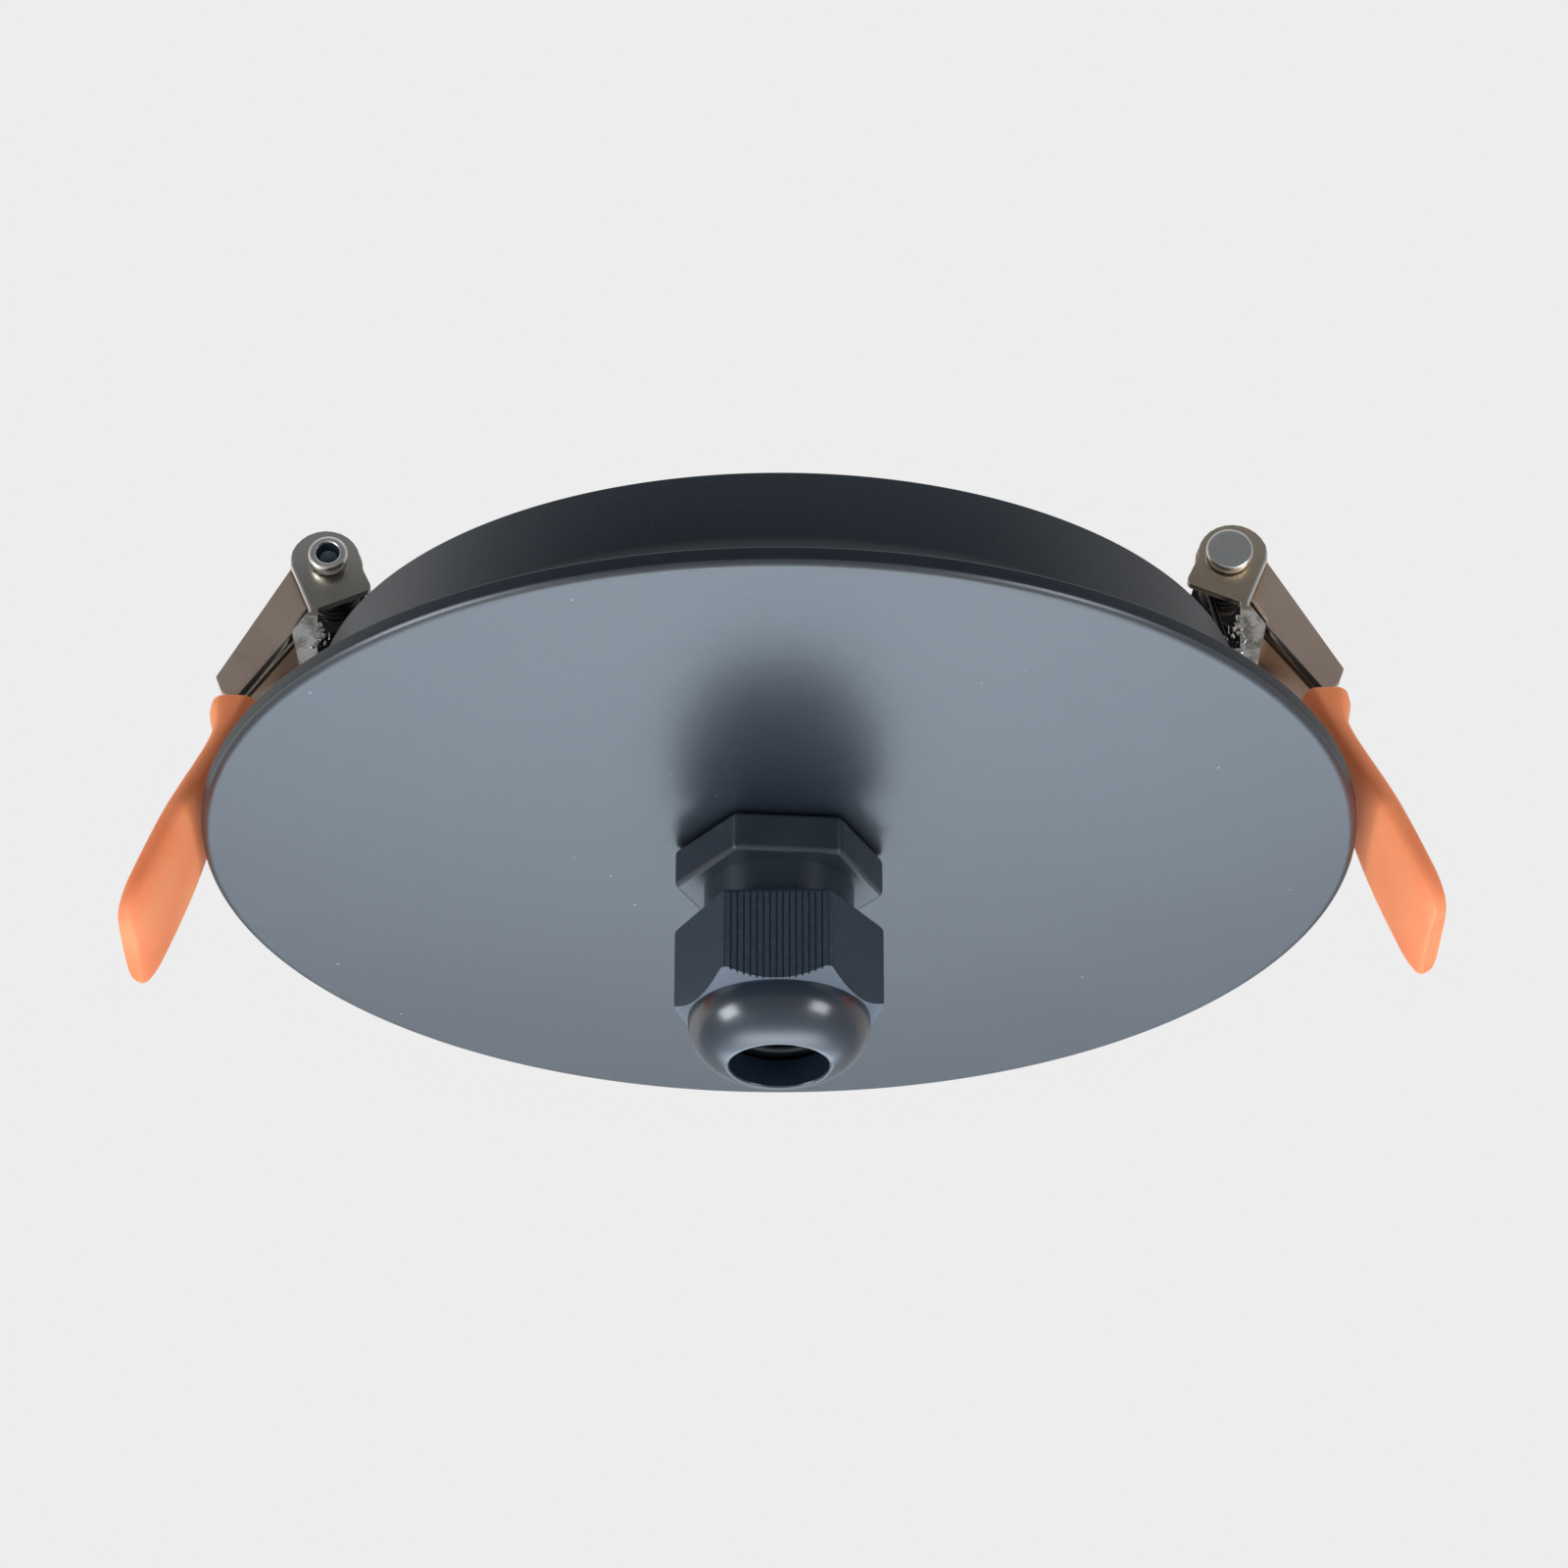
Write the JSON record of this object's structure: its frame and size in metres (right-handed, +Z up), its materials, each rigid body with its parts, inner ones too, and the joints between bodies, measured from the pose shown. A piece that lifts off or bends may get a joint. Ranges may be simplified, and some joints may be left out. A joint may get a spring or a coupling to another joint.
{
  "type": "recessed ceiling cover",
  "caption": "round ceiling cover plate with a recess ring, a centred cable gland and sprung side clips that grip a round hole in the ceiling",
  "frame": {"origin": "on the plate's axis, in the plane where the plate's back meets the ceiling", "axes": "+Z up into the ceiling; the clips lie along X, with the right clip on +X"},
  "size_m": [0.1364, 0.12, 0.0607],
  "materials": {
    "plate_coat": "fine-textured satin powder coat, blue grey",
    "ring_coat": "satin powder coat, near black",
    "gland_nylon": "moulded nylon, black",
    "seal_rubber": "soft rubber, black",
    "clip_steel": "nickel-plated sheet steel with a warm tint",
    "rivet_steel": "zinc-plated steel, bright",
    "spring_wire": "drawn spring wire",
    "sleeve_plastic": "soft orange plastic"
  },
  "bodies": {
    "cover": {"face_plate": "plate_coat", "recess_ring": "ring_coat", "gland_body": "gland_nylon", "gland_locknut": "gland_nylon", "left_clip_bracket": "clip_steel", "left_clip_rivet": "rivet_steel", "left_clip_spring": "spring_wire", "right_clip_bracket": "clip_steel", "right_clip_rivet": "rivet_steel", "right_clip_spring": "spring_wire"},
    "left_arm": {"left_clip_arm": "clip_steel", "left_clip_sleeve": "sleeve_plastic"},
    "right_arm": {"right_clip_arm": "clip_steel", "right_clip_sleeve": "sleeve_plastic"},
    "seal": {"gland_seal": "seal_rubber"},
    "dome_nut": {"gland_dome_nut": "gland_nylon"}
  },
  "joints": [
    {"name": "left_arm_swing", "type": "hinge", "parent": "cover", "child": "left_arm", "pos_m": [-0.0476, 0, 0.0295], "axis": [0, 1, 0], "range_deg": [0, 150], "stiffness_Nm_per_rad": 0.08, "springref_deg": -51.57, "deforming": ["left_clip_spring"]},
    {"name": "right_arm_swing", "type": "hinge", "parent": "cover", "child": "right_arm", "pos_m": [0.0476, 0, 0.0303], "axis": [0, -1, 0], "range_deg": [0, 148], "stiffness_Nm_per_rad": 0.08, "springref_deg": -51.57, "deforming": ["right_clip_spring"]},
    {"name": "seal_slide", "type": "slide", "parent": "cover", "child": "seal", "axis": [0, 0, -1], "range_m": [0, 0.0045]},
    {"name": "dome_nut_turn", "type": "hinge", "parent": "seal", "child": "dome_nut", "pos_m": [0, 0, -0.015], "axis": [0, 0, -1], "range_deg": [0, 1080]}
  ],
  "couplings": [
    {"joint": "dome_nut_turn", "follows": "seal_slide", "rad_per_m": 4188.8}
  ]
}
